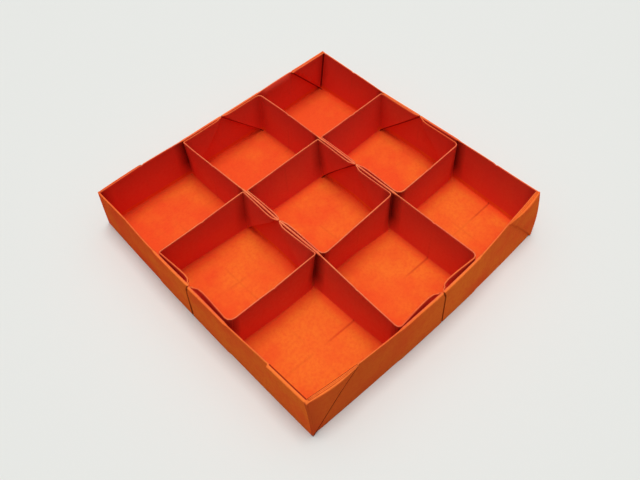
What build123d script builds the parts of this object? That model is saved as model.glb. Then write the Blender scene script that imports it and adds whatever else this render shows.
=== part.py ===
from build123d import *
import os
from math import cos, hypot, pi, sin, sqrt

# A tray of three by three cells, folded without a cut from one square of paper.
# X runs along the front wall, Y towards the back, Z up, from the middle of the underside.

# The sheet, creased both ways into a grid of small squares
sheet_side = 150.0
grid_squares = 16
paper = 0.06

# How tightly the folds lie
layer_gap = 0.02
rim_rise = 0.4
pleat_width = 0.22
wall_width = 0.27
corner_fold_width = 0.3
slit = 0.42
seam_gap = 0.22
bend_radius = 1.0
bend_facets = 3
foot_radius = 0.02

# Every wall and pleat is one grid square high. Where a pleat meets a wall its end lies along it
# for one square, so two of them meet over the middle of a cell that is two squares wide.
square = sheet_side / grid_squares
cell = 2 * square
half_box = 1.5 * cell
pleat_line = cell / 2
height = square + rim_rise
columns = (-1, 0, 1)

# Layers that lie together share one centre plane. Three folds nest at the rim of a mid-wall.
pitch = paper + layer_gap
nest_half = 2.5 * pitch + paper / 2
pleat_half = pleat_width / 2
wall_half = wall_width / 2
seam = square - seam_gap / 2

# Lengths that solids run past each other where they are joined or cut
lap = 0.02
past = 1.0

# A pleat's end turns onto its wall, a slit away from it, at the end of the straight pleat
end_line = nest_half + slit + pleat_half
end_reach = end_line + bend_radius + past

# Two slanting folds, one inside the other, bring a pleat's end back to its wall. Distances run
# along the wall from the junction. The near fold belongs to the layer that faces the middle
# cell, the far one to the layer that faces the corner cell.
slope = (height - paper) / (seam - pleat_half)
near_fold = pleat_half - paper / slope
far_fold = paper - pleat_half


def ribbon(path, halves):
    """Plan outline of a band along a path, with its half width at each point and mitred corners."""
    left, right = [], []
    runs = list(zip(path, path[1:]))
    for i, ((x, y), half) in enumerate(zip(path, halves)):
        normals = []
        for a, b in runs[max(i - 1, 0):i + 1]:
            run = hypot(b[0] - a[0], b[1] - a[1])
            normals.append(((a[1] - b[1]) / run, (b[0] - a[0]) / run))
        mean_x = sum(n[0] for n in normals) / len(normals)
        mean_y = sum(n[1] for n in normals) / len(normals)
        mitre = half / (mean_x ** 2 + mean_y ** 2)
        left.append((x + mean_x * mitre, y + mean_y * mitre))
        right.append((x - mean_x * mitre, y - mean_y * mitre))
    return left + right[::-1]


def prismoid(levels):
    """Solid with flat faces through outlines of equally many points at rising levels."""
    faces = []
    for (z0, low), (z1, high) in zip(levels, levels[1:]):
        for i in range(len(low)):
            j = (i + 1) % len(low)
            quad = [(*low[i], z0), (*low[j], z0), (*high[j], z1), (*high[i], z1)]
            faces.append(Face(Wire.make_polygon(quad)))
    for z, outline in (levels[0], levels[-1]):
        faces.append(Face(Wire.make_polygon([(*point, z) for point in outline])))
    return Solid(Shell(faces))


def ridge(path, half, depth=0.0, base=0.0, foot=None):
    """Space under a standing fold: upright sides with half a regular octagon over them.

    The half width is one for the whole path, or one for each of its points. The depth is how
    far the space lies inside the outermost face, so that nested folds share a centre. The foot
    is the path at the floor, where that differs from the path at the rim.
    """
    halves = half if isinstance(half, tuple) else (half,) * len(path)
    sides = [each - depth for each in halves]
    top = height - depth
    shoulder = (2 - sqrt(2)) * min(sides)
    return prismoid([
        (base, ribbon(foot or path, sides)),
        (top - shoulder, ribbon(path, sides)),
        (top, ribbon(path, [side - shoulder for side in sides])),
    ])


def folded_layer(path, half, depth=0.0, thick=paper, foot=None):
    """Paper folded over at the rim along a path, open along the bottom."""
    return ridge(path, half, depth, 0, foot) - ridge(path, half, depth + thick, -lap, foot)


def across(outline, near, far):
    """Outline in the plane of a wall (along it, up), taken through the wall from near to far."""
    face = Face(Wire.make_polygon([(along, near, up) for along, up in outline]))
    return Solid.extrude(face, Vector(0, far - near, 0))


def under_slant(start, top):
    """Everything along the wall that lies under a slanting fold, up to a level."""
    reach = start + top / slope
    return [(start, 0), (reach, top), (square + past, top), (square + past, -past), (start, -past)]


def slanting_fold(start):
    """The thickness of a slanting fold, square to its slant."""
    width = paper * sqrt(1 + 1 / slope ** 2)
    reach = start + height / slope
    return [(start, 0), (reach, height), (reach - width, height), (start - width, 0)]


def pleat_end():
    """A pleat's end at a wall: it turns, runs to mid-wall and folds back on its slanting folds.

    Local frame: X along the wall from the junction, Y into the cell, Z up.
    """
    def turn(radius):
        angles = [i * pi / 2 / bend_facets for i in range(bend_facets + 1)]
        arc = [(radius * (1 - cos(a)), end_line + radius * (1 - sin(a))) for a in angles]
        return [(0, end_reach)] + arc + [(seam, end_line)]

    loop = folded_layer(turn(bend_radius), pleat_half, foot=turn(pleat_half + foot_radius))
    loop -= across(under_slant(near_fold, height + past), end_line, end_line + pleat_half + past)
    loop -= across(under_slant(far_fold, height + past), 0, end_line)
    loop += across(slanting_fold(near_fold), 1.5 * pitch - paper / 2, end_line + pleat_half)
    loop += across(slanting_fold(far_fold), nest_half - paper, end_line - pleat_half + paper)
    return loop


def middle(start_half, both_faces):
    """Wall of a middle cell: an inverted box pleat whose three folds nest at the rim.

    Local frame: X along the wall from its middle, Y into the cell, Z up. The wall widens from
    the half width that it has in the corner cell. An outer wall has pleats' ends on its inside
    and a seam down its outside. A pleat between two cells that is crossed by others has pleats'
    ends on both faces.
    """
    crease = pleat_half - paper
    shoulder_line = height - nest_half

    first = folded_layer([(-past, 0), (0, 0), (seam, 0)], (start_half, nest_half, nest_half))
    second = folded_layer([(crease, 0), (seam, 0)], nest_half, pitch)
    third = folded_layer([(crease, 0), (square, 0)], nest_half, 2 * pitch)

    # Upright folds: the first layer turns back into the second, and the second into the third
    first += folded_layer([(seam - paper, 0), (seam, 0)], nest_half, 0, pitch + paper)
    second += folded_layer([(crease, 0), (pleat_half, 0)], nest_half, pitch, pitch + paper)

    for face in ((1, -1) if both_faces else (1,)):
        first -= across(under_slant(far_fold, shoulder_line), 0, face * (nest_half + lap))
        second -= across(under_slant(near_fold, shoulder_line), 0, face * (nest_half + lap))

    folded = first + second + third + pleat_end()
    if both_faces:
        folded += pleat_end().mirror(Plane.XZ)
    folded = Pos(-square, 0, 0) * folded
    return folded + folded.mirror(Plane.YZ)


def corner(outside):
    """Corner of the box, with the folded triangle that lies outside or inside one wall.

    Local frame: X along the wall that carries the triangle, Y along the other wall, both from
    the crossing of their centre planes, Z up. The paper is double, an outer layer folded over
    an inner one at the rim. The pair turns the corner into the triangle, back along its
    slanting fold, and round an upright fold into the wall.
    """
    side = -1 if outside else 1
    front_half = corner_fold_width / 2
    back_half = (pitch + paper) / 2
    back_line = side * (wall_half + layer_gap + back_half)
    front_line = back_line + side * (back_half + layer_gap + front_half)
    wall_end = wall_half + layer_gap if outside else -wall_half
    run = cell - past
    foot = wall_half
    rise = height / (square - foot)
    lean = sqrt(1 + 1 / rise ** 2)
    pair = 2 * paper + layer_gap

    def triangle(depth):
        start = foot - depth * lean
        rim = start + height / rise
        over = height + past
        return [(start, 0), (rim, height), (rim, over), (-past, over), (-past, 0)]

    def slant(near, far):
        start, end = foot - near * lean, foot - far * lean
        top = height - near
        return [(start, 0), (start + top / rise, top), (end + top / rise, top), (end, 0)]

    def space(depth):
        base = -lap if depth else 0
        far_face = pair - depth
        shape = ridge([(depth - wall_half, front_line), (square, front_line)], front_half, depth, base)
        shape += ridge([(wall_end + depth, back_line), (square, back_line)], back_half, depth, base)
        low, high = sorted((front_line, back_line))
        shape &= across(triangle(depth), low - past, high + past)
        shape += across(slant(depth, far_face), low, high)
        shape += ridge([(0, run), (0, front_line - front_half + depth)], wall_half, depth, base)
        shape += ridge([(wall_end + depth, 0), (run, 0)], wall_half, depth, base)
        top = height - wall_half - depth
        upright = [(wall_end + depth, base), (wall_end + depth, top)]
        upright += [(wall_end + far_face, top), (wall_end + far_face, base)]
        return shape + across(upright, *sorted((back_line, 0)))

    return space(0) - space(paper)


def walls_and_corners():
    """The four outer walls: three of their corner triangles lie outside and one inside."""
    mid_wall = middle(wall_half, False)
    parts = [Rot(0, 0, turn) * Pos(0, -half_box, 0) * mid_wall for turn in (0, 90, 180, -90)]
    outer = Pos(-half_box, -half_box, 0) * corner(True)
    parts += [outer, outer.mirror(Plane.YZ), outer.mirror(Plane.XZ)]
    parts += [Pos(half_box, half_box, 0) * Rot(0, 0, 180) * corner(False)]
    return parts


def long_pleats():
    """The two pleats along Y, which run on unbroken where the cross pleats meet them."""
    crossed = middle(pleat_half, True)
    parts = []
    for x in (-pleat_line, pleat_line):
        parts.append(Pos(x, 0, 0) * Rot(0, 0, 90) * crossed)
        for side in (-1, 1):
            ends = [(x, side * (pleat_line + past)), (x, side * (half_box - end_reach))]
            parts.append(folded_layer(ends, pleat_half))
    return parts


def cross_pleats():
    """The two pleats along X, in three lengths each, between the walls and the long pleats."""
    reach = cell / 2 - end_reach
    parts = []
    for y in (-pleat_line, pleat_line):
        for column in columns:
            x = column * cell
            parts.append(folded_layer([(x - reach, y), (x + reach, y)], pleat_half))
    return parts


def cell_floor(column, row):
    """Floor of one cell, out to the middle of the layer that rises from each of its edges."""
    def inset(edge_is_wall, nested):
        if nested:
            return pitch / 2
        return (wall_half if edge_is_wall else pleat_half) - paper / 2

    def span(index, is_nested):
        low_is_wall, high_is_wall = index == columns[0], index == columns[-1]
        low = inset(low_is_wall, is_nested(low_is_wall))
        high = inset(high_is_wall, is_nested(high_is_wall))
        return index * cell - cell / 2 + low, index * cell + cell / 2 - high

    x0, x1 = span(column, lambda is_wall: row == 0)
    y0, y1 = span(row, lambda is_wall: column == 0 and is_wall)
    outline = [(x0, y0), (x1, y0), (x1, y1), (x0, y1)]
    return prismoid([(0, outline), (paper, outline)])


parts = walls_and_corners() + long_pleats() + cross_pleats()
parts += [cell_floor(column, row) for column in columns for row in columns]
folded_sheet = parts[0].fuse(*parts[1:])
print("folded_sheet", len(folded_sheet.solids()), "solid", round(folded_sheet.volume, 1), "mm3")

os.makedirs("parts", exist_ok=True)
export_step(folded_sheet, "parts/folded_sheet.step")
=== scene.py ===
# %% [markdown]
# An origami box of nine cells
#
# One square of orange paper is folded into a shallow tray: a flat floor, a double wall round it, and
# pleats that stand up between the cells. The CAD model holds the folds at their true size. Here the
# same sheet gets what a hand and real paper add: walls that bow and lean, flaps that spring open, soft
# creases in the floors, worn fold edges, and fibres that catch the light.
#
# Lengths below are in millimetres, because paper and folds are easier to think about that way. Blender
# works in metres, so every length is multiplied by `MM` on its way in.

# %% Load the folded sheet as a fixed frame
from math import cos, pi, radians, sin
from types import SimpleNamespace

import bmesh
import bpy
import numpy as np
from mathutils import Matrix, Vector


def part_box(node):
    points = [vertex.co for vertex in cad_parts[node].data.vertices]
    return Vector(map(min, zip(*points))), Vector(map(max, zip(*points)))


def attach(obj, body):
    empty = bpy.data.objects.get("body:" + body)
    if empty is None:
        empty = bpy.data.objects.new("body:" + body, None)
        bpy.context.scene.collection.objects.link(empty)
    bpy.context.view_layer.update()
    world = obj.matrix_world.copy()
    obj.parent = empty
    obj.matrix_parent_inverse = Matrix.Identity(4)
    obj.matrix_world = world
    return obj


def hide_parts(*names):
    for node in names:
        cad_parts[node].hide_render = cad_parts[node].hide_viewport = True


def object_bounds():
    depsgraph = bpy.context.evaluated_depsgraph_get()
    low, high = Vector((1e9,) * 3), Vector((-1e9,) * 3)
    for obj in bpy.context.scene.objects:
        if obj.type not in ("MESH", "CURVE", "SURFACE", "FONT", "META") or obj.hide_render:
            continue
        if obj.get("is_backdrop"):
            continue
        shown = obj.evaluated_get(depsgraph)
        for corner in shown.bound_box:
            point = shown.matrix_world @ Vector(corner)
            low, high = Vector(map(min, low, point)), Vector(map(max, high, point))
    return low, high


MM = 0.001
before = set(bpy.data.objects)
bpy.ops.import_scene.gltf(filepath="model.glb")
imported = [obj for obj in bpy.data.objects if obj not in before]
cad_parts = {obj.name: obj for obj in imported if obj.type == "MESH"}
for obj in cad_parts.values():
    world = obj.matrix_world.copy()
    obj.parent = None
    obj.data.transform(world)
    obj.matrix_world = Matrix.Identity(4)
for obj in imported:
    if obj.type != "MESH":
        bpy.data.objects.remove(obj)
cad_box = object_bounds()
sheet_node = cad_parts["folded_sheet"]
low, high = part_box("folded_sheet")
print("sheet spans", [round(v / MM, 2) for v in high - low], "mm")

# %% [markdown]
# The camera
#
# The picture looks down into the box from just left of its front corner. A camera that is turned about
# the box by an azimuth and an elevation, and then rolled a little about its own axis, is easier to
# match to a picture than three rotations. Its position comes from fitting the corners of the rim.

# %% Camera
CAMERA_PLACE = (-47.35, -52.28, 92.28)
CAMERA_AZIMUTH = -42.36
CAMERA_ELEVATION = 54.01
CAMERA_ROLL = -1.39
CAMERA_LENS = 34.14
SENSOR_WIDTH = 36.0
NEAREST = 1.0
FARTHEST = 3000.0


def look_direction(azimuth, elevation):
    """Unit vector from the box towards the camera."""
    a, e = radians(azimuth), radians(elevation)
    return Vector((sin(a) * cos(e), -cos(a) * cos(e), sin(e)))


def make_camera():
    data = bpy.data.cameras.new("camera")
    data.lens = CAMERA_LENS
    data.sensor_width = SENSOR_WIDTH
    data.clip_start = NEAREST * MM
    data.clip_end = FARTHEST * MM
    camera = bpy.data.objects.new("camera", data)
    bpy.context.scene.collection.objects.link(camera)
    back = look_direction(CAMERA_AZIMUTH, CAMERA_ELEVATION)
    right = Vector((0, 0, 1)).cross(back).normalized()
    up = back.cross(right)
    turn = Matrix((right, up, back)).transposed().to_4x4()
    roll = Matrix.Rotation(radians(CAMERA_ROLL), 4, "Z")
    camera.matrix_world = Matrix.Translation(Vector(CAMERA_PLACE) * MM) @ turn @ roll
    bpy.context.scene.camera = camera
    return camera


camera = make_camera()
print("camera stands", round(camera.location.length / MM), "mm from the middle of the box")

# %% [markdown]
# Ground
#
# The box stands on a plain pale surface with hardly any shine. A flat square, far larger than the view,
# is enough for it, and it is marked as a stage because it is no part of the box.

# %% Pale ground
GROUND_SIZE = 2000.0
GROUND_COLOUR = (0.80, 0.80, 0.765, 1)
GROUND_ROUGHNESS = 0.9
GROUND_SHINE = 0.1


def make_ground():
    material = bpy.data.materials.new("ground")
    material.use_nodes = True
    shader = material.node_tree.nodes["Principled BSDF"]
    shader.inputs["Base Color"].default_value = GROUND_COLOUR
    shader.inputs["Roughness"].default_value = GROUND_ROUGHNESS
    shader.inputs["Specular IOR Level"].default_value = GROUND_SHINE
    half = GROUND_SIZE / 2 * MM
    mesh = bpy.data.meshes.new("ground")
    corners = [(-half, -half, 0), (half, -half, 0), (half, half, 0), (-half, half, 0)]
    mesh.from_pydata(corners, [], [(0, 1, 2, 3)])
    mesh.materials.append(material)
    ground = bpy.data.objects.new("ground", mesh)
    bpy.context.scene.collection.objects.link(ground)
    ground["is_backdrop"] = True


make_ground()
print("ground is", GROUND_SIZE, "mm wide")

# %% [markdown]
# Light
#
# The light is very soft. One wide lamp hangs almost straight above, about five degrees towards the back
# corner, so that the shadow falls in front of the box. The rest comes from a pale sky that is brightest
# overhead, and a little dimmer on the camera's side. Several lamps could do the same, but each would
# draw shadow edges of its own. Light that goes from wall to wall deepens the red inside, and a deeper
# red painted on the insides as shade adds to it.

# %% Soft lamp
LAMP_PLACE = (58.0, 59.0, 885.0)
LAMP_SIZE = 417.0
LAMP_POWER = 4.15


def make_lamp():
    data = bpy.data.lights.new("lamp", "AREA")
    data.shape = "DISK"
    data.size = LAMP_SIZE * MM
    data.energy = LAMP_POWER
    lamp = bpy.data.objects.new("lamp", data)
    lamp.location = Vector(LAMP_PLACE) * MM
    lamp.rotation_euler = (-lamp.location).to_track_quat("-Z", "Y").to_euler()
    bpy.context.scene.collection.objects.link(lamp)


make_lamp()
bpy.context.scene.view_settings.view_transform = "Standard"
print("lamp is", LAMP_SIZE, "mm wide and gives", LAMP_POWER, "W")


# %% Helpers that keep node trees short
def new_node(socket, kind):
    """A new node in the tree that a socket belongs to."""
    return socket.id_data.nodes.new(kind)


def link(source, target):
    source.id_data.links.new(source, target)


def fill(target, value):
    """Gives an input a value, or links another socket to it."""
    if isinstance(value, bpy.types.NodeSocket):
        link(value, target)
    else:
        target.default_value = value


def add_math(operation, *values):
    """A Math node whose inputs are numbers or sockets, and at least one socket."""
    sockets = [value for value in values if isinstance(value, bpy.types.NodeSocket)]
    node = new_node(sockets[0], "ShaderNodeMath")
    node.operation = operation
    for target, value in zip(node.inputs, values):
        fill(target, value)
    return node.outputs[0]


def split(vector):
    """The three numbers of a vector."""
    node = new_node(vector, "ShaderNodeSeparateXYZ")
    link(vector, node.inputs[0])
    return tuple(node.outputs)


# %% Pale sky
SKY_COLOUR = (0.95, 0.98, 1.0, 1)
SKY_ZENITH = 1.11
SKY_POWER = 2.2
SKY_LEAN = -0.16


def make_sky():
    world = bpy.data.worlds.new("sky")
    world.use_nodes = True
    tree = world.node_tree
    background = tree.nodes["Background"]
    background.inputs["Color"].default_value = SKY_COLOUR
    direction = tree.nodes.new("ShaderNodeTexCoord").outputs["Generated"]
    height = split(direction)[2]
    overhead = add_math("MULTIPLY", add_math("POWER", height, SKY_POWER), SKY_ZENITH)
    to_front = new_node(direction, "ShaderNodeVectorMath")
    to_front.operation = "DOT_PRODUCT"
    link(direction, to_front.inputs[0])
    to_front.inputs[1].default_value = look_direction(CAMERA_AZIMUTH, 0) * SKY_LEAN
    strength = add_math("MULTIPLY_ADD", to_front.outputs["Value"], overhead, overhead)
    link(strength, background.inputs["Strength"])
    bpy.context.scene.world = world


make_sky()
print("sky is", SKY_ZENITH, "bright overhead")

# %% [markdown]
# A sheet that can bend
#
# The CAD mesh has large flat triangles, which can't bow. It could be rebuilt by hand as curved panels,
# but then every fold would have to be made twice. Instead a copy of it is joined up and cut by planes
# along the sheet's own crease grid: eight strips to each creased square, with finer cuts just where a
# flap turns back to its wall, beside the rim's nicks and just under the rim. The true node stays as it
# is, hidden.

# %% Places of the cuts
SQUARE = 9.375
HALF_BOX = 3 * SQUARE
PLEAT = SQUARE
CELL_CREASE = 2 * SQUARE
RIM = (high.z - low.z) / MM
STRIPS = 8
FLAP_END_CUTS = (0.3, 0.55, 0.85)
NICK_CUTS = (0.2, 0.45)
RIM_CUTS = (0.3, 0.7)
FLOOR_CUT = 0.5
# The front left wall is thicker from here to the front corner
THICK_START = 2.12 * SQUARE
THICK_EASE = 0.3


def plan_cuts():
    """Places along X and Y: the crease grid, the flaps' ends, the nicks and the thick stretch's end."""
    step = SQUARE / STRIPS
    count = int(HALF_BOX / step)
    places = [i * step for i in range(-count, count + 1)]
    places += [side * near for near in FLAP_END_CUTS for side in (-1, 1)]
    for crease in (-CELL_CREASE, CELL_CREASE):
        places += [crease + side * near for near in NICK_CUTS for side in (-1, 1)]
    places += [-THICK_START, THICK_EASE - THICK_START]
    return sorted(places)


def height_cuts():
    step = SQUARE / STRIPS
    return [FLOOR_CUT] + [i * step for i in range(1, STRIPS)] + [RIM - below for below in RIM_CUTS]


print(len(plan_cuts()), "cuts each way and", len(height_cuts()), "levels")

# %% Cut a copy of the sheet
MERGE = 0.0001
SNAP = 0.001


def joined_copy(source):
    """A bmesh of the loose triangles, joined where they meet."""
    bm = bmesh.new()
    bm.from_mesh(source.data)
    bmesh.ops.remove_doubles(bm, verts=bm.verts, dist=MERGE * MM)
    return bm


def cut(bm, axis, place):
    """Cuts the whole mesh by a plane across one axis."""
    normal = [0, 0, 0]
    normal[axis] = 1
    point = [0, 0, 0]
    point[axis] = place * MM
    everything = bm.verts[:] + bm.edges[:] + bm.faces[:]
    bmesh.ops.bisect_plane(bm, geom=everything, dist=SNAP * MM, plane_co=point, plane_no=normal)


sheet_bmesh = joined_copy(sheet_node)
for axis in (0, 1):
    for place in plan_cuts():
        cut(sheet_bmesh, axis, place)
for place in height_cuts():
    cut(sheet_bmesh, 2, place)
bmesh.ops.triangulate(sheet_bmesh, faces=sheet_bmesh.faces)
sheet_mesh = bpy.data.meshes.new("paper_box")
sheet_bmesh.to_mesh(sheet_mesh)
sheet_bmesh.free()
print("the sheet now has", len(sheet_mesh.polygons), "triangles")

# %% [markdown]
# What a hand adds to the plan
#
# Seen from above, the folded box isn't square. Its corners are drawn in, the two front walls bow
# outwards, and the foot lies a little askew of the rim. Nine small shifts at the rim and nine at the
# foot, one for each corner, each mid-wall and the middle, describe that. A quadratic blend carries
# them over the whole sheet, so that every layer moves together and none is torn or crossed.

# %% Shifts of the corners, mid-walls and middle, in millimetres along X and Y
RIM_SHIFTS = {
    "front corner": (0.6, 1.2), "front right wall": (0.0, -0.6), "right corner": (0.0, 1.1),
    "front left wall": (-0.3, 0.0), "middle": (0.4, 0.0), "back right wall": (-0.1, 0.2),
    "left corner": (0.0, -0.8), "back left wall": (-0.2, -0.5), "back corner": (0.3, 0.1),
}
FOOT_SHIFTS = {
    "front corner": (-0.15, -0.4), "front right wall": (0.8, -1.4), "right corner": (-1.2, -0.95),
    "front left wall": (-0.65, 0.8), "middle": (0.2, 0.2), "back right wall": (0.0, 0.0),
    "left corner": (-0.35, 0.2), "back left wall": (0.0, -0.3), "back corner": (-0.5, 0.8),
}
PLACES = (
    ("front corner", "front right wall", "right corner"),
    ("front left wall", "middle", "back right wall"),
    ("left corner", "back left wall", "back corner"),
)


def quadratic(t):
    """Weights of the low, middle and high place, for t from -1 to 1."""
    return t * (t - 1) / 2, 1 - t * t, t * (t + 1) / 2


def plan_shift(points, shifts):
    """Blend of the nine shifts at each point."""
    across, along = quadratic(points[:, 0] / HALF_BOX), quadratic(points[:, 1] / HALF_BOX)
    total = np.zeros((len(points), 2))
    for row, weight_y in zip(PLACES, along):
        for name, weight_x in zip(row, across):
            total += np.outer(weight_x * weight_y, shifts[name])
    return total


coordinates = np.empty(len(sheet_mesh.vertices) * 3)
sheet_mesh.vertices.foreach_get("co", coordinates)
rest_points = coordinates.reshape(-1, 3) / MM
share_up = rest_points[:, 2:3] / RIM
shift = np.zeros_like(rest_points)
shift[:, :2] += plan_shift(rest_points, RIM_SHIFTS) * share_up
shift[:, :2] += plan_shift(rest_points, FOOT_SHIFTS) * (1 - share_up)
print("largest plan shift", round(float(np.abs(shift).max()), 2), "mm")

# %% [markdown]
# Flaps that spring open
#
# Where a pleat ends at a wall, its two layers turn and lie along that wall as a flap, and two flaps meet
# at mid-wall. Paper springs back, so each flap stands off its wall, most of all just before mid-wall,
# and curls back to the wall at its end. The dark slits in the rim are these gaps. In the CAD model all
# slits are equally wide and all turns equally round. A hand doesn't fold like that, so each flap gets
# four sizes of its own: how wide its slit is at the turn and at its widest, how round it turns, and
# how far its turn has slid along the wall.

# %% The flaps as the model has them, and as they are here
MODEL_SLIT = 0.42
MODEL_TURN = 1.0
WALL_FACE = 0.23
FLAP_FACE = 0.65
FLAP_LINE = 0.76
FLAP_BACK = 0.87
AT_TURN, AT_WIDEST, TURN_RADIUS, SLIDE = range(4)
# For each wall: the axis that it runs along, its centre line on the other axis, the side that its
# flaps are on, and the four sizes of the flap on its low half and of the one on its high half.
FLAPS = {
    "front left wall": ("y", -HALF_BOX, 1, (0.30, 0.62, 1.2, -0.6), (0.12, 0.60, 0.25, -0.3)),
    "front right wall": ("x", -HALF_BOX, 1, (0.05, 0.60, 0.8, -0.6), (0.15, 0.70, 0.9, 0.2)),
    "back left wall": ("x", HALF_BOX, -1, (0.20, 0.26, 0.2, -0.3), (0.15, 0.18, 0.9, 0.15)),
    "back right wall": ("y", HALF_BOX, -1, (0.55, 0.50, 0.7, -0.85), (0.05, 0.10, 0.45, 0.8)),
    "left pleat, left face": ("y", -PLEAT, -1, (0.03, 0.32, 0.35, 0.0), (0.05, 0.30, 0.2, 0.2)),
    "left pleat, right face": ("y", -PLEAT, 1, (0.05, 0.25, 1.0, -1.1), (0.03, 0.22, 0.2, -0.2)),
    "right pleat, left face": ("y", PLEAT, -1, (0.22, 0.42, 0.55, 0.0), (0.20, 0.30, 0.2, 0.2)),
    "right pleat, right face": ("y", PLEAT, 1, (0.12, 0.34, 1.2, -1.1), (0.05, 0.10, 0.25, 0.1)),
}


def smooth(t):
    """Eases from 0 to 1 as t goes from 0 to 1."""
    t = np.clip(t, 0, 1)
    return t * t * (3 - 2 * t)


def wall_places(points, run, line, side):
    """Each point's place along a wall from mid-wall, and its distance off the wall's centre line."""
    along, across = (points[:, 0], points[:, 1]) if run == "x" else (points[:, 1], points[:, 0])
    return along, (across - line) * side


def past_wall(off):
    """0 on a wall's own layers, 1 from its flap onwards."""
    return np.clip((off - WALL_FACE) / (FLAP_FACE - WALL_FACE), 0, 1)


def own_size(along, low_half, high_half, size):
    """For each point, one size of the flap that it belongs to."""
    return np.where(along < 0, low_half[size], high_half[size])


print("sizes given for", 2 * len(FLAPS), "flaps")

# %% [markdown]
# The width of a slit
#
# A slit closes in a point at mid-wall and is widest just before it. The flap's layers are moved off
# their wall to suit, fully at the rim and not at all at the foot, and the pleat behind them bends along.

# %% Open the slits
WIDEST_PLACE = 1.9
FLAP_END = 0.35
END_RUN = 1.1
CLOSED = 0.02
OPENING_CURVE = 1.3
CLOSING_CURVE = 0.8
FLAP_FADE = 5.0
TURN_FADE = 3.5


def slit_width(from_middle, at_turn, widest):
    """Width of a slit by distance from mid-wall."""
    opening = np.sin(np.clip((SQUARE - from_middle) / (SQUARE - WIDEST_PLACE), 0, 1) * pi / 2)
    width = at_turn + (widest - at_turn) * opening ** OPENING_CURVE
    closing = np.clip((from_middle - FLAP_END) / END_RUN, 0, 1) ** CLOSING_CURVE
    return CLOSED + (width - CLOSED) * closing


def flap_shift(points, along, off, flaps):
    """How far one wall's flaps move off their wall, at each point."""
    from_middle = np.abs(along)
    width = slit_width(from_middle, own_size(along, *flaps, AT_TURN), own_size(along, *flaps, AT_WIDEST))
    past_flap = 1 - smooth((off - FLAP_BACK) / FLAP_FADE)
    near_wall = 1 - smooth((from_middle - SQUARE - FLAP_BACK) / TURN_FADE)
    by_height = (points[:, 2] / RIM) ** 2
    return (width - MODEL_SLIT) * past_wall(off) * past_flap * near_wall * by_height


print("slits are", round(float(slit_width(WIDEST_PLACE, 0.3, 0.6)), 2), "mm wide where 0.6 is asked for")

# %% [markdown]
# Turns, slides and drawn-back ends
#
# A turn of another radius moves only the points that are on the arc or past it, along the wall and off
# it. A slide carries the turn along its wall and fades out towards the pleat's other end. The flap's
# own end is drawn back a little from mid-wall, which leaves the small notch between two flaps.

# %% Round the turns, slide them and draw the ends back
FOOT_TURN = 0.13
RUN_FADE = 4.0
TURN_MARGIN = 0.3
SLIDE_MARGIN = 0.5
END_PULL = 0.45
END_PULL_RUN = 2.5
END_FADE = 0.3
TINY = 1e-6


def turn_shift(points, along, off, flaps):
    """How far each point moves along and off a wall, for a sharper or rounder turn."""
    up = points[:, 2] / RIM
    now = FOOT_TURN + (MODEL_TURN - FOOT_TURN) * up
    change = (own_size(along, *flaps, TURN_RADIUS) - MODEL_TURN) * up
    inward = SQUARE - np.abs(along)
    past_turn, past_line = now - inward, FLAP_LINE + now - off
    angle = np.arctan2(np.maximum(past_line, 0), np.maximum(past_turn, TINY))
    on_pleat = 1 - smooth(-past_line / RUN_FADE)
    on_flap = 1 - smooth(-past_turn / RUN_FADE)
    outside = 1 - smooth(-inward - TURN_MARGIN)
    share = change * on_pleat * on_flap * outside * past_wall(off)
    return -np.sign(along) * share * (1 - np.cos(angle)), share * (1 - np.sin(angle))


def slide_shift(points, along, off, flaps):
    """How far each point slides along a wall with the end of its pleat, less towards its other ends."""
    slide = own_size(along, *flaps, SLIDE) * points[:, 2] / RIM
    inward = SQUARE - np.abs(along)
    to_far_end = 1 - np.clip(off / (2 * SQUARE), 0, 1)
    to_middle = 1 - np.clip(inward / SQUARE, 0, 1)
    outside = 1 - smooth(-inward - SLIDE_MARGIN)
    return slide * past_wall(off) * to_far_end * to_middle * outside


def end_shift(points, along, off):
    """How far the ends of the flaps are drawn back from mid-wall, along the wall."""
    past_flap = 1 - smooth((off - FLAP_BACK) / END_FADE)
    near_end = 1 - smooth(np.abs(along) / END_PULL_RUN)
    return np.sign(along) * END_PULL * past_wall(off) * past_flap * near_end * (points[:, 2] / RIM) ** 4


for run, line, side, *flaps in FLAPS.values():
    along_axis, off_axis = (0, 1) if run == "x" else (1, 0)
    along, off = wall_places(rest_points, run, line, side)
    along_wall, off_wall = turn_shift(rest_points, along, off, flaps)
    shift[:, along_axis] += along_wall + slide_shift(rest_points, along, off, flaps)
    shift[:, along_axis] += end_shift(rest_points, along, off)
    shift[:, off_axis] += side * (off_wall + flap_shift(rest_points, along, off, flaps))
print("flaps opened or closed on", len(FLAPS), "faces")

# %% [markdown]
# Long pleats, pinched in the middle
#
# The two long pleats hold three nested folds between their crossings. On the real box these lie pressed
# together. Moving every layer towards the middle line, by a share of its distance from it, closes the
# gaps without letting one layer cross another.

# %% Pinch the long pleats
PINCH = 0.3
PINCH_MARGIN = 0.5
PINCH_FADE = 0.8


def pinch_shift(points, line):
    """Presses together the nested folds of a long pleat between its crossings."""
    off = points[:, 0] - line
    in_middle = 1 - smooth((np.abs(points[:, 1]) - SQUARE + PINCH_MARGIN) / PINCH_FADE)
    return -PINCH * np.clip(off, -WALL_FACE, WALL_FACE) * (np.abs(off) < 2 * FLAP_BACK) * in_middle


for line in (-PLEAT, PLEAT):
    shift[:, 0] += pinch_shift(rest_points, line)
print("long pleats pressed together by", round(PINCH * 2 * WALL_FACE, 2), "mm")

# %% [markdown]
# Corner triangles that spring out
#
# Three corner triangles lie outside their walls. They touch the wall at their tip at the rim, stand
# off most at mid-length, and come back a little at the corner. The shift grows with the distance from
# the slanting fold, so that the fold itself stays close to the wall.

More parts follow.
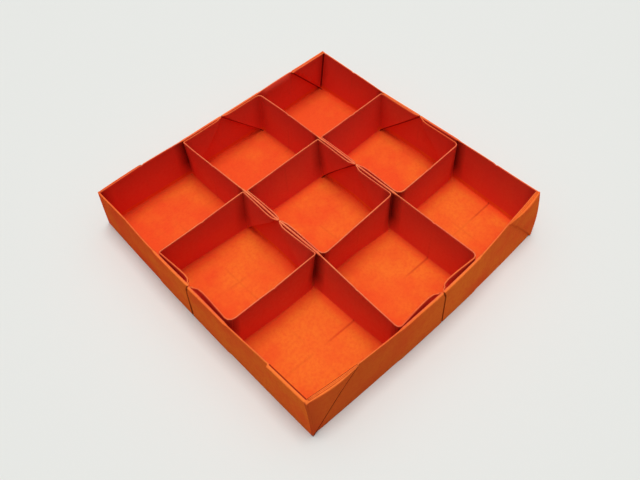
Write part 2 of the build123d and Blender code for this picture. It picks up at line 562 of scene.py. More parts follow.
# %% Spring of the corner triangles, in millimetres
TRIANGLE_MODEL = 0.48
TRIANGLE_EDGE = 0.14
TRIANGLE_BULGE = 0.52
TRIANGLE_TURNS = 0.8
TRIANGLE_MARGIN = 1.0
OVERSHOOT = 1.1
WALL_HALF = 0.135
# The corner's sides along X and Y, and how strongly its triangle springs
TRIANGLES = {"front corner": (-1, -1, 1.0), "right corner": (1, -1, 1.1), "left corner": (-1, 1, 0.1)}


def triangle_shift(points, side_x, side_y, strength):
    """Outward shift of one corner's triangle, which lies outside the wall along X."""
    inward = HALF_BOX - side_x * points[:, 0]
    outward = side_y * points[:, 1] - HALF_BOX - WALL_HALF
    fold = WALL_HALF + points[:, 2] / RIM * (SQUARE - WALL_HALF)
    inside = np.clip((fold - inward) / SQUARE, 0, 1)
    spring = TRIANGLE_EDGE + strength * TRIANGLE_BULGE * np.sin(inside * pi * TRIANGLE_TURNS)
    near_corner = inward < SQUARE + TRIANGLE_MARGIN
    share = np.clip(outward / TRIANGLE_MODEL, 0, OVERSHOOT) * near_corner
    return side_y * share * (spring - TRIANGLE_MODEL)


for side_x, side_y, strength in TRIANGLES.values():
    shift[:, 1] += triangle_shift(rest_points, side_x, side_y, strength)
print("triangles sprung at", len(TRIANGLES), "corners")

# %% [markdown]
# Kinks where creases cross
#
# The sheet was first creased into squares, so no panel is quite flat or quite in line with the next.
# Each crossing of the creases gets a small shift of its own at the rim, and straight panels run between
# them. Most are random. Those that show clearly are given, and so are those of the pleats' feet, which
# stand a little nearer to the front than the rims above them.

# %% Kinks at the rim and at the foot, by place on the crease grid, in millimetres along X and Y
KINK = 0.07
KINK_SEED = 5
CROSSINGS = 2 * int(HALF_BOX / SQUARE) + 1
LAST_CELL_PART = 0.999
RIM_KINKS = {
    (3, 1): (-0.33, 0.0), (3, 2): (-0.15, 0.0), (3, 3): (-0.2, 0.1), (3, -1): (0.13, 0.0),
    (3, -2): (0.1, 0.0), (0, 3): (0.0, -0.1), (2, 3): (0.0, 0.18), (-2, 3): (0.0, 0.25),
    (-3, 3): (-0.2, -0.2), (-1, 3): (0.0, 0.05), (0, -3): (0.0, -0.3), (1, -3): (0.0, -0.35),
    (-1, -3): (0.0, -0.2), (-2, -3): (0.0, -0.15), (-3, 0): (-0.1, 0.0), (-3, -1): (-0.15, 0.0),
    (-3, 2): (0.12, 0.0), (-3, -2): (0.08, 0.0),
}
FOOT_KINKS = {
    (-1, -3): (-0.55, 0.0), (-1, -2): (-0.85, 0.0), (-1, -1): (-0.75, -0.25), (-1, 0): (-0.2, -0.05),
    (1, -3): (-0.5, 0.0), (1, -2): (-0.6, 0.0), (1, -1): (-0.5, -0.55), (1, 0): (0.15, 0.0),
    (-2, -1): (0.0, -0.4), (0, -1): (0.0, -0.05), (2, -1): (0.0, -0.7), (3, -1): (0.0, -0.4),
    (-2, 1): (0.0, -0.4), (-1, 1): (0.0, -0.85), (0, 1): (0.0, -1.05), (1, 1): (0.3, -1.05),
    (2, 1): (0.0, -0.4),
}


def with_known(at_crossings, known):
    """The same shifts at all crossings, but for the known ones."""
    result = at_crossings.copy()
    for (column, row), value in known.items():
        result[column + CROSSINGS // 2, row + CROSSINGS // 2] = value
    return result


def kink_shift(points, at_crossings):
    """Shifts at the crossings of the creases, joined by straight panels."""
    place = np.clip((points[:, :2] + HALF_BOX) / SQUARE, 0, CROSSINGS - 2 + LAST_CELL_PART)
    cell = place.astype(int)
    part = place - cell
    total = np.zeros((len(points), 2))
    for step_x, weight_x in enumerate((1 - part[:, 0], part[:, 0])):
        for step_y, weight_y in enumerate((1 - part[:, 1], part[:, 1])):
            corner = at_crossings[cell[:, 0] + step_x, cell[:, 1] + step_y]
            total += corner * (weight_x * weight_y)[:, None]
    return total


random_kinks = np.random.default_rng(KINK_SEED).uniform(-KINK, KINK, (CROSSINGS, CROSSINGS, 2))
rim_kinks = with_known(random_kinks, RIM_KINKS)
foot_kinks = with_known(np.zeros_like(random_kinks), FOOT_KINKS)
shift[:, :2] += kink_shift(rest_points, rim_kinks) * share_up
shift[:, :2] += kink_shift(rest_points, foot_kinks) * (1 - share_up)
print("kinks given at", len(RIM_KINKS), "crossings of the rim and", len(FOOT_KINKS), "of the foot")

# %% [markdown]
# Nicks, seams, a thick stretch and a rolled one
#
# Where a crease across a cell meets a rim, it leaves a nick. The seams down the middle of the two front
# walls aren't straight but bow to one side, and the rim steps a little beside one of them. Next to the
# front corner the front left wall holds the corner's inner layers and is thicker, up to a nick. Under
# the rim of the back left wall, next to the back corner, the inner layer has rolled inwards.

# %% Nicks and seams
NICK_DEPTH = 0.16
NICK_WIDTH = 0.3
NICK_SHARPNESS = 6
SEAM_BOW = 0.42
SEAM_TOP = 0.17
SEAM_FADE = 1.6
STEP_FADE = 3.0
NEAR_SEAM = 0.3
STEP_SIZES = {"x": 0.0, "y": -0.1}


def nick_shift(points):
    """Small dips of the rim where the mid-cell creases cross it."""
    dips = np.zeros(len(points))
    for axis in (0, 1):
        dips += np.exp(-((np.abs(points[:, axis]) - CELL_CREASE) / NICK_WIDTH) ** 2)
    return -NICK_DEPTH * dips * (points[:, 2] / RIM) ** NICK_SHARPNESS


def seam_shift(points, run, step_size):
    """Bow of a front wall's seam along the wall, and the small step of the rim beside it."""
    along, outward = wall_places(points, run, -HALF_BOX, -1)
    up = points[:, 2] / RIM
    near_seam = np.exp(-(along / SEAM_FADE) ** 2) * (outward > 0)
    bow = np.minimum((1 - up) / SEAM_TOP, up / (1 - SEAM_TOP))
    step = np.sign(along) * np.exp(-np.abs(along) / STEP_FADE) * up ** 3
    return SEAM_BOW * smooth(bow) * near_seam, step_size * step * (np.abs(outward) < NEAR_SEAM)


for run, step_size in STEP_SIZES.items():
    along_axis, off_axis = (0, 1) if run == "x" else (1, 0)
    bow, step = seam_shift(rest_points, run, step_size)
    shift[:, along_axis] += bow
    shift[:, off_axis] -= step
shift[:, 2] += nick_shift(rest_points)
print("nicks", NICK_DEPTH, "mm deep and seams bowed by", SEAM_BOW, "mm")

# %% The thick stretch and the rolled one
THICK_EXTRA = 0.42
OUTER_LAYER = 0.06
OUTER_EASE = 0.16
# The rolled stretch: from and to in squares, the rest in millimetres
ROLL_FROM = 1.05
ROLL_TO = 2.02
ROLL_EASE = 1.5
ROLL_DEPTH = 0.42
ROLL_HEIGHT = 0.7
ROLL_LAYER = 0.04


def thick_stretch(points):
    """Outward shift of the front left wall's outer layer, between the front corner and the nick."""
    outer = np.clip((OUTER_LAYER - HALF_BOX - points[:, 0]) / OUTER_EASE, 0, 1)
    before_nick = 1 - smooth((points[:, 1] + THICK_START) / THICK_EASE)
    return -THICK_EXTRA * outer * before_nick * (points[:, 2] / RIM) ** 2


def roll_shift(points):
    """Inward bulge of the back left wall's inner layer under the rim, next to the back corner."""
    inner = np.clip((HALF_BOX - ROLL_LAYER - points[:, 1]) / ROLL_LAYER, 0, 1)
    inner *= points[:, 1] > HALF_BOX - WALL_FACE
    from_start = (points[:, 0] - ROLL_FROM * SQUARE) / ROLL_EASE
    from_end = (ROLL_TO * SQUARE - points[:, 0]) / ROLL_EASE
    below_rim = RIM - points[:, 2]
    bulge = np.minimum(below_rim / ROLL_HEIGHT, points[:, 2] / (RIM - ROLL_HEIGHT))
    return -ROLL_DEPTH * inner * smooth(from_start) * smooth(from_end) * np.clip(bulge, 0, 1)


shift[:, 0] += thick_stretch(rest_points)
shift[:, 1] += roll_shift(rest_points)
bent_points = rest_points + shift
bent_points[:, 2] = np.maximum(bent_points[:, 2], 0)
print("points moved by up to", round(float(np.linalg.norm(shift, axis=1).max()), 2), "mm")

# %% [markdown]
# Marks for the finish
#
# The finish needs to know where the paper is folded over at the rim, because the fibres break there and
# look paler, and because the rounded crest also gets a painted highlight. A number on each point says so:
# 1 along the crest of a fold, 0 just below it. A second mark keeps each point's place on the flat crease
# grid, counted in squares, and its share of the height. The bending doesn't change these, so every fold
# can still be found by arithmetic.

# %% Store the crest of the folds and the place on the crease grid
CREST_FADE = 0.09

crest = sheet_mesh.attributes.new("crest", "FLOAT", "POINT")
on_crest = np.clip(1 - (RIM - rest_points[:, 2]) / CREST_FADE, 0, 1)
crest.data.foreach_set("value", on_crest.astype(np.float32))
grid = sheet_mesh.attributes.new("grid", "FLOAT_VECTOR", "POINT")
on_grid = rest_points / (SQUARE, SQUARE, RIM)
grid.data.foreach_set("vector", on_grid.astype(np.float32).ravel())
sheet_mesh.vertices.foreach_set("co", (bent_points * MM).astype(np.float32).ravel())
sheet_mesh.update()
print("marked", int((on_crest > 0).sum()), "points along the rims")

# %% [markdown]
# Paper
#
# Uncoated orange paper is matt and a little mottled, with faint warm and red patches and fine fibres.
# Folding wears it: the crest of a fold is paler, and a crease pressed into it stays as a fine darker
# line. The crests also get a painted highlight. Where paper runs into a narrow cleft, little light gets
# in, and that shade is painted, as are other shadows and some light. A painted picture could hold all
# this, but it would be tied to one size. Here the marks come from the crease grid: pleats and walls
# stand on odd lines, the creases across the cells lie on even ones, and the slanting folds run corner
# to corner. Each kind of mark is a short function that gives a number from 0 to 1, and the paints are
# laid over one another by these numbers.

# %% Helpers for marks
def add_range(value, low_in, high_in, low_out=0.0, high_out=1.0):
    """A Map Range node on one number."""
    node = new_node(value, "ShaderNodeMapRange")
    link(value, node.inputs["Value"])
    ends = {"From Min": low_in, "From Max": high_in, "To Min": low_out, "To Max": high_out}
    for name, number in ends.items():
        node.inputs[name].default_value = number
    return node.outputs["Result"]


def choose(mark, without, with_mark):
    """One number where a mark is 0, and another where it is 1."""
    return add_range(mark, 0.0, 1.0, without, with_mark)


def chain(operation, values):
    """One Math node after another, over several numbers."""
    result = values[0]
    for value in values[1:]:
        result = add_math(operation, result, value)
    return result


def both(*values):
    """Product of several numbers."""
    return chain("MULTIPLY", values)


def either(*values):
    """Largest of several numbers."""
    return chain("MAXIMUM", values)


def plus(*values):
    return chain("ADD", values)


def minus(first, second):
    return add_math("SUBTRACT", first, second)


def near(value, reach):
    """1 where a number is nought, fading to 0 at the reach."""
    return add_range(add_math("ABSOLUTE", value), 0.0, reach, 1.0, 0.0)


def below(value, limit):
    return add_math("LESS_THAN", value, limit)


def above(value, limit):
    return add_math("GREATER_THAN", value, limit)


# %% Places on the crease grid, in squares from the middle of the box
PLEAT_LINE = 1.0
CREASE_LINE = 2.0
WALL_LINE = 3.0
BY_PLEAT = 0.5
BY_WALL = 2.5
ON_LINE = 0.12
FLOOR_PART = 0.05


def places_on_grid(tree):
    """Where a point lies on the crease grid, and on which part of the box."""
    attribute = tree.nodes.new("ShaderNodeAttribute")
    attribute.attribute_name = "grid"
    x, y, up = split(attribute.outputs["Vector"])
    far_x, far_y = [add_math("ABSOLUTE", place) for place in (x, y)]
    to_even_x, to_even_y = [add_math("PINGPONG", place, 1.0) for place in (x, y)]
    to_odd_x, to_odd_y = [minus(1.0, place) for place in (to_even_x, to_even_y)]
    cell_x, cell_y = [add_math("WRAP", place, 1.0, -1.0) for place in (x, y)]
    outermost = add_math("MAXIMUM", far_x, far_y)
    inside = below(outermost, WALL_LINE)
    return SimpleNamespace(
        x=x, y=y, up=up, far_x=far_x, far_y=far_y, outermost=outermost, inside=inside,
        to_even=add_math("MINIMUM", to_even_x, to_even_y), to_odd_x=to_odd_x, to_odd_y=to_odd_y,
        cell_x=cell_x, cell_y=cell_y, on_floor=below(up, FLOOR_PART),
        past_edge=minus(WALL_LINE, plus(far_x, up)),
        back_cell=both(above(x, CREASE_LINE), above(y, CREASE_LINE), inside),
    )


orange_paper = bpy.data.materials.new("orange_paper")
orange_paper.use_nodes = True
paper_tree = orange_paper.node_tree
at = places_on_grid(paper_tree)
print("places on the crease grid take", len(paper_tree.nodes), "nodes")

# %% [markdown]
# Fibres and patches
#
# Two soft noises give the patches and the mottle of the paper. Its fibres are a third kind, drawn out
# along two directions, because they lie crosswise. All of them use Object coordinates, so they keep
# their size on every part of the sheet.

# %% Noises of the paper, in millimetres
PATCH_SIZE = 8.0
MOTTLE_SIZE = 0.55
MOTTLE_DETAIL = 3.0
MOTTLE_ROUGHNESS = 0.6
FIBRE_WIDTH = 0.10
FIBRE_LENGTH = 0.7
FIBRE_DETAIL = 2.0
FIBRE_TURNS = ((0.3, 0.2, 0.5), (0.1, 0.9, 2.1))


def add_noise(vector, scale, detail, roughness=0.5):
    """A Noise Texture. Its scale is a socket or a number."""
    node = new_node(vector, "ShaderNodeTexNoise")
    node.noise_dimensions = "3D"
    node.inputs["Detail"].default_value = detail
    node.inputs["Roughness"].default_value = roughness
    fill(node.inputs["Scale"], scale)
    link(vector, node.inputs["Vector"])
    return node


def speckles(place, size):
    return add_noise(place, 1 / (size * MM), MOTTLE_DETAIL, MOTTLE_ROUGHNESS).outputs["Fac"]


def fibres(place, turn):
    """Noise drawn out along one direction, as the paper's fibres are."""
    mapping = new_node(place, "ShaderNodeMapping")
    mapping.inputs["Rotation"].default_value = turn
    sizes = (FIBRE_LENGTH, FIBRE_WIDTH, FIBRE_WIDTH)
    mapping.inputs["Scale"].default_value = [1 / (size * MM) for size in sizes]
    link(place, mapping.inputs["Vector"])
    return add_noise(mapping.outputs["Vector"], 1.0, FIBRE_DETAIL).outputs["Fac"]


place = paper_tree.nodes.new("ShaderNodeTexCoord").outputs["Object"]
patches = speckles(place, PATCH_SIZE)
mottle = speckles(place, MOTTLE_SIZE)
strands = either(*[fibres(place, turn) for turn in FIBRE_TURNS])
print("fibres are", FIBRE_LENGTH, "mm long and", FIBRE_WIDTH, "mm wide")

# %% [markdown]
# Clefts
#
# In the upright corners of the cells two walls meet, and the shade in the cleft between them is
# painted, nearly black at its root. Where flaps lie along a wall, the corner lies a flap's depth in
# front of it. Clefts beside the flaps of an outer wall and in the box's own corners are shallower,
# and their painted shade is weaker.

# %% Painted shade in the clefts of the upright corners of the cells
CLEFT_REACH = 0.26
CLEFT_START = 0.02
CLEFT_FOOT = 0.4
FLAP_OFFSET = 0.09
CLEFT_SHARE = 0.95
FLAP_CLEFT_SHARE = 0.62
OUTER_CLEFT_SHARE = 0.38
ROLLED_CLEFT_SHARE = 0.15


def to_upright_corner(at, in_flap_row, in_flap_column):
    """Distance to the nearest upright corner of a cell, from the face of the flaps if it has any."""
    squared = []
    for to_odd, has_flap in ((at.to_odd_x, in_flap_row), (at.to_odd_y, in_flap_column)):
        off = add_math("MAXIMUM", minus(to_odd, both(has_flap, FLAP_OFFSET)), 0.0)
        squared.append(both(off, off))
    return add_math("SQRT", plus(*squared))


# Painted shade: darkens each cleft towards its root, where little light gets in
def cleft_marks(at, to_corner, at_flap):
    at_outer_flap = both(at_flap, above(at.outermost, CREASE_LINE))
    in_box_corner = both(above(at.far_x, BY_WALL), above(at.far_y, BY_WALL))
    by_roll = both(above(at.x, PLEAT_LINE), above(at.y, BY_WALL), below(at.x, CREASE_LINE))
    share = both(
        choose(at_flap, CLEFT_SHARE, FLAP_CLEFT_SHARE),
        choose(either(at_outer_flap, in_box_corner), 1.0, OUTER_CLEFT_SHARE),
        choose(by_roll, 1.0, ROLLED_CLEFT_SHARE),
    )
    root = add_range(to_corner, 0.0, CLEFT_REACH, 1.0, 0.0)
    return both(root, share, at.inside, add_range(at.up, CLEFT_START, CLEFT_FOOT))


in_flap_row = below(at.far_y, PLEAT_LINE)
in_flap_column = both(below(at.far_x, PLEAT_LINE), above(at.far_y, CREASE_LINE))
to_corner = to_upright_corner(at, in_flap_row, in_flap_column)
clefts = cleft_marks(at, to_corner, either(in_flap_row, in_flap_column))
print("clefts reach", round(CLEFT_REACH * SQUARE, 1), "mm")

# %% [markdown]
# Slanting folds
#
# On the middle walls the flaps fold back along slants, from the foot at each end to the rim in the
# middle. The shadow under each slant is painted as a dark line, on the right pleat and on the back
# walls, and hardly on the others. In the back corner the inner triangle has such a painted shadow
# line too, and painted shade in the gap behind it.

# %% Painted shadow of the slanting folds, and painted shade in the back corner
FOLD_OFFSET = 0.025
FOLD_REACH = 0.03
FOLD_SHARE = 0.8
FAINT_FOLD_SHARE = 0.2
LEFT_PLEAT_SHARE = 0.12
BACK_OFFSET = 0.02
BACK_GAP = 0.074
GAP_EASE = 1.3
GAP_START = 0.01
GAP_FOOT = 0.12
BACK_SHARE = 0.9


def slant_marks(at, along, far_along, to_wall, on_these):
    """Painted shadow lines under the slants on the walls that run along one axis."""
    slant = minus(plus(far_along, at.up), 1.0 - FOLD_OFFSET)
    on_wall = both(below(to_wall, ON_LINE), below(far_along, PLEAT_LINE), at.inside, on_these)
    return both(near(slant, FOLD_REACH), on_wall, choose(above(along, 0.0), FAINT_FOLD_SHARE, FOLD_SHARE))


def back_corner_marks(at, to_corner):
    """Painted shadow by the inner triangle's slanting edge, and painted shade in the gap behind it."""
    edge = near(minus(at.past_edge, BACK_OFFSET), FOLD_REACH)
    gap = add_range(to_corner, BACK_GAP, GAP_EASE * BACK_GAP, 1.0, 0.0)
    gap = both(gap, add_range(at.up, GAP_START, GAP_FOOT))
    return both(either(both(edge, below(at.to_odd_y, ON_LINE)), gap), at.back_cell, BACK_SHARE)


on_pleats = both(above(at.far_x, BY_PLEAT), choose(above(at.x, 0.0), LEFT_PLEAT_SHARE, 1.0))
on_back_wall = both(above(at.far_y, BY_WALL), above(at.y, 0.0))
# Painted shade of the clefts, the back corner and the slanting folds
painted_shade = either(
    clefts, back_corner_marks(at, to_corner),
    slant_marks(at, at.y, at.far_y, at.to_odd_x, on_pleats),
    slant_marks(at, at.x, at.far_x, at.to_odd_y, on_back_wall),
)
print("slanting folds are", round(2 * FOLD_REACH * SQUARE, 2), "mm wide")

# %% [markdown]
# Seams and triangle edges on the outside
#
# Down the middle of each outer wall two edges of the sheet meet, and the shade in the narrow seam
# between them is painted dark. Beside the slanting edge of an outer triangle lies a fine painted
# shadow, and it is clearest at the front corner. Painted shade makes the front right wall as a whole
# darker towards that corner.

# %% Painted shade of the seams, of the outer triangles' edges and of the front right wall
SEAM_REACH = 0.028
LEFT_SEAM_REACH = 0.046
EDGE_REACH = 0.042
FRONT_EDGE_REACH = 0.062
EDGE_SHARE = 0.15
TRIANGLE_START = 1.9
SHADE_RANGE = (0.5, -2.2, 0.0, 0.7)
CORNER_SHADE_REACH = 0.25
CORNER_SHADE_SHARE = 0.4


# Painted shade in the seams down the middle of the outer walls
def seam_marks(at):
    to_seam = add_math("MINIMUM", at.far_x, at.far_y)
    seams = both(near(to_seam, SEAM_REACH), above(at.outermost, WALL_LINE))
    return either(seams, both(near(to_seam, LEFT_SEAM_REACH), below(at.x, -WALL_LINE)))


# Painted shadow beside the slanting edges of the outer triangles
def triangle_edge_marks(at):
    has_triangle = either(below(at.x, 0.0), below(at.y, 0.0))
    beside = both(above(at.far_y, WALL_LINE), above(at.far_x, TRIANGLE_START), has_triangle)
    edge = both(near(at.past_edge, EDGE_REACH), EDGE_SHARE)
    front_edge = both(near(at.past_edge, FRONT_EDGE_REACH), below(at.x, 0.0))
    return both(either(edge, front_edge), beside)


def shaded_wall(at):
    """Painted shade of the front right wall, from its middle to the front corner."""
    at_corner = near(plus(at.x, WALL_LINE), CORNER_SHADE_REACH)
    shade = plus(add_range(at.x, *SHADE_RANGE), both(at_corner, CORNER_SHADE_SHARE))
    return both(shade, below(at.y, -WALL_LINE))


seams = either(seam_marks(at), triangle_edge_marks(at))
shaded = shaded_wall(at)
print("seams are", round(2 * SEAM_REACH * SQUARE, 2), "mm wide")

# %% [markdown]
# Floors, insides and rims
#
# The creases across the cells are faint, apart from one along the front right row of cells, where the
# sheet was folded more often. Floors get painted red bounce light beside walls and painted warm light
# at their far sides. The insides of the walls get a deeper red, which is painted shade. The rims of the
# outer walls are warmer than those of the pleats, and beside the front corner a dark line of painted
# shade runs in the gap between the rim's two layers.

# %% Creases of the floors, and painted light on them
CREASE_REACH = 0.035
CREASE_RANGE = (0.48, 0.60)
CREASE_SHARE = 0.22
CLEAR_CREASE_REACH = 0.03
CLEAR_CREASE_RANGE = (0.2, 0.55)
CLEAR_CREASE_SHARE = 0.75
FOOT_REACH = 0.22
FRONT_LEAN = (-0.1, -0.22)


def clear_crease_marks(at):
    """The crease along the front right row of cells, in each cell's far part."""
    on_crease = near(plus(at.y, CREASE_LINE), CLEAR_CREASE_REACH)
    return both(on_crease, add_range(at.cell_x, *CLEAR_CREASE_RANGE), at.on_floor, at.inside)


# Used for painted light, which makes the paper warmer towards the front
def toward_front(at):
    """Larger towards the front of the box, most of all towards the front right wall."""
    return plus(*[both(place, lean) for place, lean in zip((at.x, at.y), FRONT_LEAN)])


faint_creases = both(near(at.to_even, CREASE_REACH), add_range(patches, *CREASE_RANGE), CREASE_SHARE)
creases = either(faint_creases, both(clear_crease_marks(at), CLEAR_CREASE_SHARE))
# Painted light: floors beside the walls get the red light that bounces off them
at_foot = both(near(add_math("MINIMUM", at.to_odd_x, at.to_odd_y), FOOT_REACH), at.on_floor, at.inside)
# Painted light: a warmer tone at each floor's far side, for light thrown back by the far walls
far_side = both(plus(at.cell_x, at.cell_y), at.on_floor)
print("floors are redder for", round(FOOT_REACH * SQUARE, 1), "mm beside a wall")

# %% Insides of the walls and rims
STANDING_FROM = 0.12
PLEAT_FOOT = (0.008, 0.05)
OUTERMOST_PLEAT = 2.8
MIDDLE_ROW_EDGE = 0.97
OUTER_RIM_FROM = 2.9
RIM_PART = 0.96
RIM_LINE_FROM = 2.98
RIM_LINE_TO = 2.998


# Where the insides get their painted shade, a deeper red, and their sheen
def standing_marks(at):
    """Insides of the walls. The pleats count from their foot, but for those of the middle row."""
    on_pleat = both(below(at.outermost, OUTERMOST_PLEAT), above(at.far_y, MIDDLE_ROW_EDGE))
    from_foot = both(add_range(at.up, *PLEAT_FOOT), on_pleat)
    return both(either(above(at.up, STANDING_FROM), from_foot), at.inside)


def rim_gap_shade_marks(at):
    """Painted shade between the rim's two layers, along the front left wall's thick stretch."""
    in_stretch = both(below(at.x, -CREASE_LINE), below(at.y, -THICK_START / SQUARE))
    between = both(above(at.outermost, RIM_LINE_FROM), below(at.outermost, RIM_LINE_TO))
    return both(in_stretch, above(at.up, RIM_PART), between)


standing = standing_marks(at)
rim_gap_shade = rim_gap_shade_marks(at)
outer_rims = above(at.outermost, OUTER_RIM_FROM)
print("the deeper red starts", round(STANDING_FROM * RIM, 1), "mm up the outer walls")

# %% [markdown]
# The paints and their order
#
# The paper starts as a blend of orange and warm orange, warmer towards the front and at the floors'
# far sides as painted light. Red mottle, the painted red bounce light at the floor edges and pale
# fibres come over it, then the deeper red of the insides and the front right wall's shade, both
# painted shade. Creases go on after that, then the painted shade of clefts, folds and seams. The worn
# crests, which also carry a painted highlight, come almost last, because wear takes the colour off all
# that lies below them.

# %% Colours, shares and ranges
PAPER = (0.86, 0.090, 0.021, 1)
PAPER_WARM = (0.89, 0.175, 0.024, 1)
PAPER_RED = (0.80, 0.063, 0.019, 1)
# Painted light: the red bounce light on floors beside the walls
FOOT_BOUNCE_RED = (1.0, 0.066, 0.022, 1)
# Painted shade: the deeper red of the insides of the walls
INSIDE_SHADE_RED = (0.82, 0.040, 0.022, 1)
# Painted shade of the front right wall
PAPER_SHADED = (0.52, 0.052, 0.014, 1)
CREASE_RED = (0.60, 0.038, 0.012, 1)
# Painted shade of the clefts, the back corner and the slanting folds
CLEFT_SHADE = (0.12, 0.006, 0.003, 1)
# Painted shade in the seams and beside the outer triangles' edges
SEAM_SHADE = (0.13, 0.005, 0.002, 1)
# Pale crests: worn fibres, and a painted highlight on the rounded fold
FOLD_PALE = (1.0, 0.27, 0.095, 1)
FOLD_WARM = (1.0, 0.215, 0.040, 1)
# Painted shade in the gap between the rim's two layers
RIM_GAP_SHADE = (0.32, 0.020, 0.005, 1)
# Painted light: warmer towards the front and at the floors' far sides
FRONT_WARMTH = 0.24
FAR_WARMTH = 0.12
FOOT_SHARE = 0.75
DEEP_SHARE = 0.8
SHADED_SHARE = 0.64
# Each range turns a noise, from its first number to its second, into a share, 0 to 1 or as given
WARM_RANGE = (0.38, 0.72)
MOTTLE_RANGE = (0.42, 0.75, 0.0, 0.5)
FIBRE_RANGE = (0.55, 0.85, 0.0, 0.45)
WEAR_AND_HIGHLIGHT_RANGE = (0.7, 1.3, 0.3, 1.0)
greener = PAPER_WARM[1] / PAPER[1]
print("warm paper reflects", round(greener, 1), "times as much green as plain paper")


# %% Lay the paints over one another
def add_mix(share, first, second):
    """A Mix node whose inputs 0, 6 and 7 are the share, a socket, and two colours."""
    node = new_node(share, "ShaderNodeMix")
    node.data_type = "RGBA"
    for number, value in ((0, share), (6, first), (7, second)):
        fill(node.inputs[number], value)
    return node.outputs[2]


crest_node = paper_tree.nodes.new("ShaderNodeAttribute")
crest_node.attribute_name = "crest"
on_crest = crest_node.outputs["Fac"]
under_rim = minus(1.0, on_crest)
# Painted light on top of the random warm patches: warmer towards the front and at far sides
warm = plus(patches, both(toward_front(at), FRONT_WARMTH), both(far_side, FAR_WARMTH))
wear_and_highlight = add_range(plus(mottle, patches), *WEAR_AND_HIGHLIGHT_RANGE)
coats = (
    (add_range(warm, *WARM_RANGE), PAPER_WARM),
    (add_range(mottle, *MOTTLE_RANGE), PAPER_RED),
    (both(at_foot, FOOT_SHARE), FOOT_BOUNCE_RED),
    (add_range(strands, *FIBRE_RANGE), PAPER_WARM),
    (both(standing, DEEP_SHARE), INSIDE_SHADE_RED),
    (both(shaded, SHADED_SHARE), PAPER_SHADED),
    (creases, CREASE_RED),
    (both(painted_shade, under_rim), CLEFT_SHADE),
    (seams, SEAM_SHADE),
    # Worn crests, paler also as a painted highlight
    (both(on_crest, wear_and_highlight), add_mix(outer_rims, FOLD_PALE, FOLD_WARM)),
    (rim_gap_shade, RIM_GAP_SHADE),
)
colour = PAPER
for share, paint in coats:
    colour = add_mix(share, colour, paint)
shader = paper_tree.nodes["Principled BSDF"]
link(colour, shader.inputs["Base Color"])
print("laid", len(coats), "coats of paint over the plain paper")

# %% [markdown]
# Surface
#
# Bare paper scatters light, so it is rough, and its mottle, fibres and creases bend the normals a
# little. Real dents would need far more triangles. The insides of the walls shine a little, but not
# where the clefts and lines carry painted shade.

# %% Roughness, sheen and relief
ROUGHNESS_RANGE = (0.3, 0.7, 0.72, 0.90)
INSIDE_SHEEN = 0.35
BUMP_STRENGTH = 0.45
BUMP_HEIGHT = 0.03
MOTTLE_BUMP = 0.6
CREASE_BUMP = 1.2

link(add_range(mottle, *ROUGHNESS_RANGE), shader.inputs["Roughness"])
unmarked = minus(1.0, either(painted_shade, rim_gap_shade))
link(both(standing, unmarked, INSIDE_SHEEN), shader.inputs["Specular IOR Level"])
height = minus(plus(both(mottle, MOTTLE_BUMP), strands), both(creases, CREASE_BUMP))
bump = paper_tree.nodes.new("ShaderNodeBump")
bump.inputs["Strength"].default_value = BUMP_STRENGTH
bump.inputs["Distance"].default_value = BUMP_HEIGHT * MM
link(height, bump.inputs["Height"])
link(bump.outputs["Normal"], shader.inputs["Normal"])
print("paper material has", len(paper_tree.nodes), "nodes")

# %% [markdown]
# Soft unevenness by Geometry Nodes
#
# Two things follow a rule over the whole sheet: each creased square of floor swells a little between
# its creases, and all walls waver. A Geometry Nodes tree does both, with its sizes as named inputs, so
# that they can be turned up or down in one place. It ends by realising its result and giving it the
# paper material. The result is then kept as a plain mesh.

# %% Swelling floor squares and wavering walls
SWELL = 0.22
SWELL_TOP = 2.0
WAVER = 0.22
WAVE_LENGTH = 16.0
WAVE_DETAIL = 1.0
SEED = 3


def swelling(given, parts):
    """Rise of the floor: each creased square is an arch both ways, and flat along its creases."""
    swell = given["Swell"]
    panel = new_node(swell, "ShaderNodeCombineXYZ")
    for axis in (0, 1):
        turns = add_math("DIVIDE", parts[axis], given["Square"])
        arch = add_math("ABSOLUTE", add_math("SINE", both(turns, pi)))
        swell = both(swell, arch)
        link(add_math("FLOOR", turns), panel.inputs[axis])
    link(given["Seed"], panel.inputs[2])
    chance = new_node(swell, "ShaderNodeTexWhiteNoise")
    link(panel.outputs[0], chance.inputs["Vector"])
    swell = both(swell, chance.outputs["Value"])
    above_floor = both(parts[2], 1 / (SWELL_TOP * MM))
    near_floor = add_math("MAXIMUM", minus(1.0, above_floor), 0.0)
    return both(swell, near_floor)


def wavering(given, place, up):
    """Shifts along X, Y and Z that grow towards the rim. Waver is the full swing, to both sides."""
    amount = both(given["Waver"], add_math("DIVIDE", up, given["Rim"]))
    moved_place = new_node(place, "ShaderNodeVectorMath")
    moved_place.operation = "ADD"
    link(place, moved_place.inputs[0])
    link(given["Seed"], moved_place.inputs[1])
    scale = add_math("DIVIDE", 1.0, given["Wave Length"])
    waves = add_noise(moved_place.outputs[0], scale, WAVE_DETAIL)
    from_middle = [minus(part, 0.5) for part in split(waves.outputs["Color"])]
    return [both(part, amount) for part in from_middle]


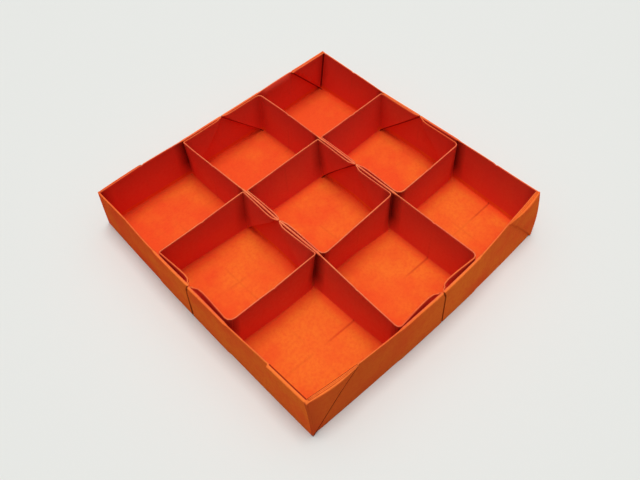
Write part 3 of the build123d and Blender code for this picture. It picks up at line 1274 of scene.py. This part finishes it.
def soft_paper_tree(material):
    tree = bpy.data.node_groups.new("soft_paper", "GeometryNodeTree")
    tree.interface.new_socket("Geometry", in_out="INPUT", socket_type="NodeSocketGeometry")
    for name in ("Square", "Swell", "Waver", "Wave Length", "Rim", "Seed"):
        tree.interface.new_socket(name, in_out="INPUT", socket_type="NodeSocketFloat")
    tree.interface.new_socket("Geometry", in_out="OUTPUT", socket_type="NodeSocketGeometry")
    given = tree.nodes.new("NodeGroupInput").outputs
    place = tree.nodes.new("GeometryNodeInputPosition").outputs[0]
    parts = split(place)
    wave_x, wave_y, wave_z = wavering(given, place, parts[2])
    rise = plus(wave_z, swelling(given, parts))
    offset = tree.nodes.new("ShaderNodeCombineXYZ")
    for socket, value in zip(offset.inputs, (wave_x, wave_y, rise)):
        link(value, socket)
    move = tree.nodes.new("GeometryNodeSetPosition")
    link(given["Geometry"], move.inputs["Geometry"])
    link(offset.outputs[0], move.inputs["Offset"])
    realise = tree.nodes.new("GeometryNodeRealizeInstances")
    link(move.outputs[0], realise.inputs[0])
    finish = tree.nodes.new("GeometryNodeSetMaterial")
    finish.inputs["Material"].default_value = material
    link(realise.outputs[0], finish.inputs["Geometry"])
    link(finish.outputs[0], tree.nodes.new("NodeGroupOutput").inputs[0])
    return tree


soft_paper = soft_paper_tree(orange_paper)
print("soft paper tree has", len(soft_paper.nodes), "nodes")


# %% Run the tree and keep its result
def apply_tree(mesh, name, tree, inputs):
    """An object whose mesh is the tree's result on this mesh, with no modifier left on it."""
    maker = bpy.data.objects.new(name + "_maker", mesh)
    bpy.context.scene.collection.objects.link(maker)
    modifier = maker.modifiers.new("folds", "NODES")
    modifier.node_group = tree
    for item in tree.interface.items_tree:
        if item.in_out == "INPUT" and item.name in inputs:
            modifier[item.identifier] = inputs[item.name]
    bpy.context.view_layer.update()
    evaluated = maker.evaluated_get(bpy.context.evaluated_depsgraph_get())
    result = bpy.data.meshes.new_from_object(evaluated)
    bpy.data.objects.remove(maker)
    piece = bpy.data.objects.new(name, result)
    bpy.context.scene.collection.objects.link(piece)
    return piece


paper_box = apply_tree(sheet_mesh, "paper_box", soft_paper, {
    "Square": SQUARE * MM, "Swell": SWELL * MM, "Waver": 2 * WAVER * MM,
    "Wave Length": WAVE_LENGTH * MM, "Rim": RIM * MM, "Seed": float(SEED),
})
print("paper_box has", len(paper_box.data.polygons), "triangles")

# %% [markdown]
# Shading
#
# Paper bends smoothly within a panel and sharply at a fold. Smooth shading with sharp edges above a
# chosen angle shows both.

# %% Smooth panels and sharp folds
FOLD_ANGLE = 50.0
paper_box.data.shade_smooth()
paper_box.data.set_sharp_from_angle(angle=radians(FOLD_ANGLE))
print("edges over", FOLD_ANGLE, "degrees stay sharp")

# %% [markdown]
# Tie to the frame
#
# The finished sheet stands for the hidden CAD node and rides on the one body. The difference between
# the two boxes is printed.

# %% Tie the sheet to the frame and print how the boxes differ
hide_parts("folded_sheet")
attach(paper_box, "root")
visual_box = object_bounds()
corners = zip(cad_box[0][:] + cad_box[1][:], visual_box[0][:] + visual_box[1][:])
growth = [round((visual - cad) / MM, 2) for cad, visual in corners]
print("the visual box differs from the CAD box by", growth, "mm")
